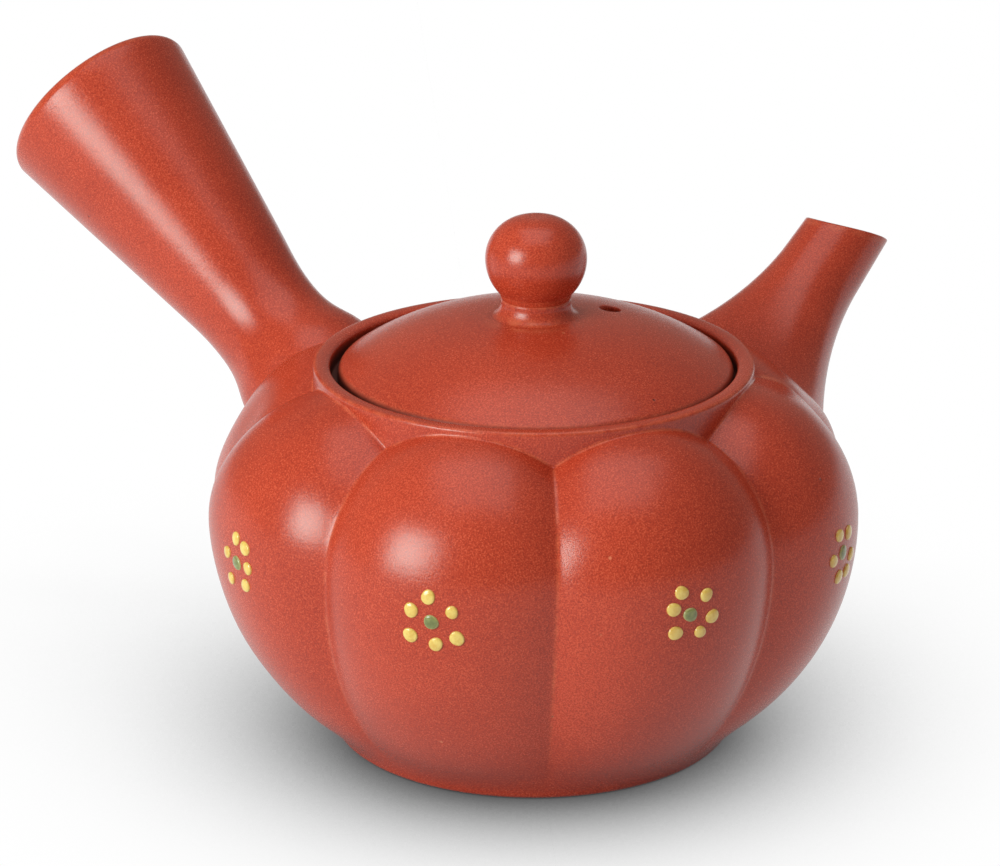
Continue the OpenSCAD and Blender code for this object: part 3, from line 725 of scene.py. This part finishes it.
# The steam hole's edge is eased: its cutter widens as it comes up through the dome.
steam_c = np.linspace(0, 2 * math.pi, 40, endpoint=False)
ease = np.concatenate((
    straight((steam_r, -8), (steam_r, -0.5), 4),
    rounded((steam_r, -0.5), (steam_r, 0), (steam_r + 0.2, 0.02), 6),
    [(steam_r + 0.3, 0.6)],
))
steam_x = steam_at * math.cos(steam_angle) + ease[:, :1] * np.cos(steam_c)
steam_y = steam_at * math.sin(steam_angle) + ease[:, :1] * np.sin(steam_c)
steam_z = crown(np.hypot(steam_x, steam_y)) + ease[:, 1:]
steam = np.stack((steam_x, steam_y, steam_z), -1) + lid_off
# The hole's wall takes the cutter's marks, no wear and a painted dark shade, so that the hole shows dark.
cut_out(lid, clay_mesh("steam", [steam], {"wear_and_highlight": [0.0], "recess_shade": [1.0]}))
put_on(lid, red_clay, "lid", "clay", "lid")

# Knob: a small ball of the same clay on a short neck, turned by itself and luted on the lid's crown. A
# fine line is cut round the neck, and its foot is smoothed out onto the lid.
ball_r, ball_half, ball_z, line_z = 7.8, 6.6, 76.65, 70.25
knob_spread_r, knob_neck_r, knob_lip_r = 6.9, 5.36, 5.56
knob_z = crown(knob_spread_r)
lip_turn_a = -math.acos(knob_lip_r / ball_r)
lip_z = ball_z + ball_r * math.sin(lip_turn_a)
knob_a = np.linspace(0, 2 * math.pi, 96, endpoint=False)
top_turn = np.linspace(0, 1, 26, endpoint=False) * (math.pi / 2 - 0.05)
ball_top = np.stack((ball_r - ball_half + ball_half * np.cos(top_turn), ball_z + ball_half * np.sin(top_turn)), -1)
knob_profile = profile_rows([
    straight((1, knob_z - 0.8), (knob_spread_r, knob_z - 0.8), 4),
    straight((knob_spread_r, knob_z - 0.8), (knob_spread_r, knob_z - 0.05), 2),
    rounded((knob_spread_r, knob_z - 0.05), (knob_neck_r + 0.45, knob_z + 0.2), (knob_neck_r, knob_z + 1.9), 12),
    straight((knob_neck_r, knob_z + 1.9), (knob_neck_r, line_z - 0.15), 3),
    straight((knob_neck_r, line_z - 0.15), (knob_neck_r - 0.12, line_z), 2),
    straight((knob_neck_r - 0.12, line_z), (knob_neck_r, line_z + 0.15), 2),
    straight((knob_neck_r, line_z + 0.15), (knob_lip_r, lip_z), 4),
    arc((0, ball_z), ball_r, lip_turn_a, 0, 24),
    ball_top,
    straight((ball_r - ball_half + 0.2, ball_z + ball_half), (0.4, ball_z + ball_half), 3),
], knob_a.size)
knob_up = knob_profile[..., 1]
# The foot is paler all round and much paler on the side toward the key light, a painted highlight; the cut line
# and the ball's lip are paler too.
foot_wear_and_highlight = bell(knob_up, knob_z + 0.3, 0.6) * (0.3 + 0.7 * bell(knob_a, math.radians(200), 0.6))
on_line, on_lip = 1.2 * bell(knob_up, line_z, 0.14), 0.5 * bell(knob_up, lip_z, 0.2)
knob_wear_and_highlight = np.maximum.reduce((foot_wear_and_highlight, on_line, on_lip))
knob = clay_mesh("ball_knob", [turned(knob_profile, knob_a) + lid_off], {"wear_and_highlight": [knob_wear_and_highlight]})
put_on(knob, red_clay, "lid", "clay", "knob")

# Floor: a plain white sheet under the pot, which keeps its soft shadow: what is seen of it is white,
# darkened by how much of the light from above the pot keeps off.
floor_mesh = bpy.data.meshes.new("floor")
floor_mesh.from_pydata([(-6, -6, 0), (6, -6, 0), (6, 6, 0), (-6, 6, 0)], [], [(0, 1, 2, 3)])
floor = bpy.data.objects.new("floor", floor_mesh)
scene.collection.objects.link(floor)
white_paper, floor_place = new_finish("white_paper")
rays = floor_place.node("ShaderNodeLightPath")
mirrored = rays.math("MAXIMUM", rays.out("Is Glossy Ray"), rays.out("Is Transmission Ray"))
seen = rays.math("MAXIMUM", rays.out("Is Camera Ray"), mirrored)
open_sky = floor_place.node("ShaderNodeAmbientOcclusion", {"samples": 16}, {"Distance": 0.09}, "AO")
shade = floor_place.mix(open_sky.step(0.04, 0.92), (0.05, 0.05, 0.05, 1), (1, 1, 1, 1))
matt = floor_place.node("ShaderNodeBsdfDiffuse", {}, {"Color": (0.8, 0.8, 0.8, 1)})
white = floor_place.node("ShaderNodeEmission", {}, {"Color": shade, "Strength": 1.0})
sheet = floor_place.node("ShaderNodeMixShader", {}, {0: seen, 1: matt, 2: white})
floor_place.node("ShaderNodeOutputMaterial", {}, {"Surface": sheet})
floor_mesh.materials.append(white_paper)

# Light: a pale, slightly warm room, a soft and slightly cool box low on the left, and a wide plain one
# above.
studio = bpy.data.worlds.new("studio")
studio.use_nodes = True
studio.node_tree.nodes.clear()
room = Finish(studio.node_tree)
room_light = room.node("ShaderNodeBackground", {}, {"Color": (1, 0.94, 0.82, 1), "Strength": 0.3})
room.node("ShaderNodeOutputWorld", {}, {"Surface": room_light})
scene.world = studio


def soft_box(name, azimuth, elevation, distance, size, power, colour):
    """Square soft light of a size, at a direction and distance from the middle of the pot, facing it."""
    lamp = bpy.data.lights.new(name, "AREA")
    lamp.size, lamp.energy, lamp.color = size, power, colour
    made = bpy.data.objects.new(name, lamp)
    level, up, pot_middle = distance * math.cos(elevation), distance * math.sin(elevation), 0.04
    made.location = (level * math.cos(azimuth), level * math.sin(azimuth), pot_middle + up)
    made.rotation_euler = (math.pi / 2 - elevation, 0, azimuth + math.pi / 2)
    scene.collection.objects.link(made)


soft_box("key_box", math.radians(172), math.radians(20), 0.9, 0.42, 7.6, (0.84, 1, 0.96))
soft_box("top_box", math.radians(221), math.radians(85), 0.9, 0.8, 3.0, (1, 1, 1))

# Camera: a long lens, a little above the pot, between its spout and its handle.
lens = bpy.data.cameras.new("long_lens")
lens.lens, lens.sensor_width = 154.95, 36
camera = bpy.data.objects.new("long_lens", lens)
camera.location = (-0.47272, -0.41529, 0.27016)
camera.rotation_euler = (math.radians(90 - 19.423), 0, math.radians(-48.228))
scene.collection.objects.link(camera)
scene.camera = camera
scene.view_settings.view_transform = "Standard"
